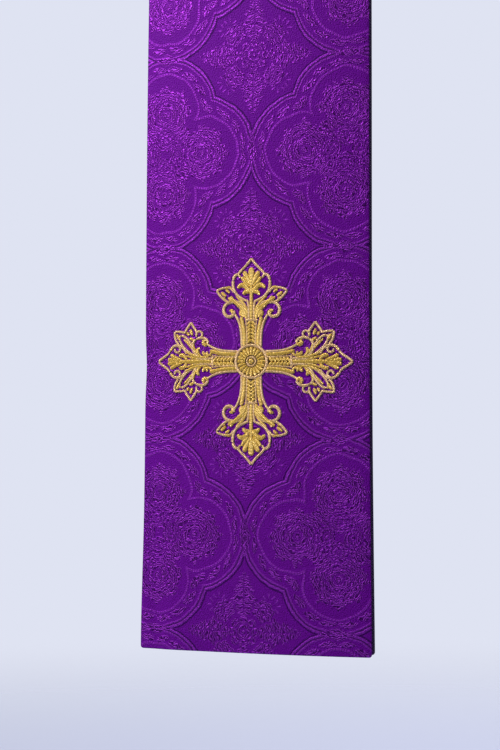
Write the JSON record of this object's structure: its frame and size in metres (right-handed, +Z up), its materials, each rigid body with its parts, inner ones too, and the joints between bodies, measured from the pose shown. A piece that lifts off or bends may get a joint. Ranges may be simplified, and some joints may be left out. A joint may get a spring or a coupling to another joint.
{
  "type": "clerical stole",
  "caption": "Long lined brocade stole, worn round the back of the neck with both panels hanging in front, widening to a plain hem, with an embroidered gold cross low on each panel.",
  "frame": {"origin": "middle of the nape seam, on the side that rests on the wearer's neck", "axes": "+Z up; the wearer faces -Y; +X is towards the wearer's left"},
  "size_m": [0.3734, 0.2754, 1.1869],
  "materials": {
    "purple_brocade": "figured satin brocade",
    "aubergine_lining": "plain woven lining",
    "gold_thread": "satin-stitched embroidery thread"
  },
  "bodies": {
    "root": {"right_face": "purple_brocade", "left_face": "purple_brocade", "right_lining": "aubergine_lining", "left_lining": "aubergine_lining", "right_cross_medallion": "gold_thread", "right_cross_top": "gold_thread", "right_cross_bottom": "gold_thread", "right_cross_inner": "gold_thread", "right_cross_outer": "gold_thread", "left_cross_medallion": "gold_thread", "left_cross_top": "gold_thread", "left_cross_bottom": "gold_thread", "left_cross_inner": "gold_thread", "left_cross_outer": "gold_thread"}
  },
  "joints": []
}
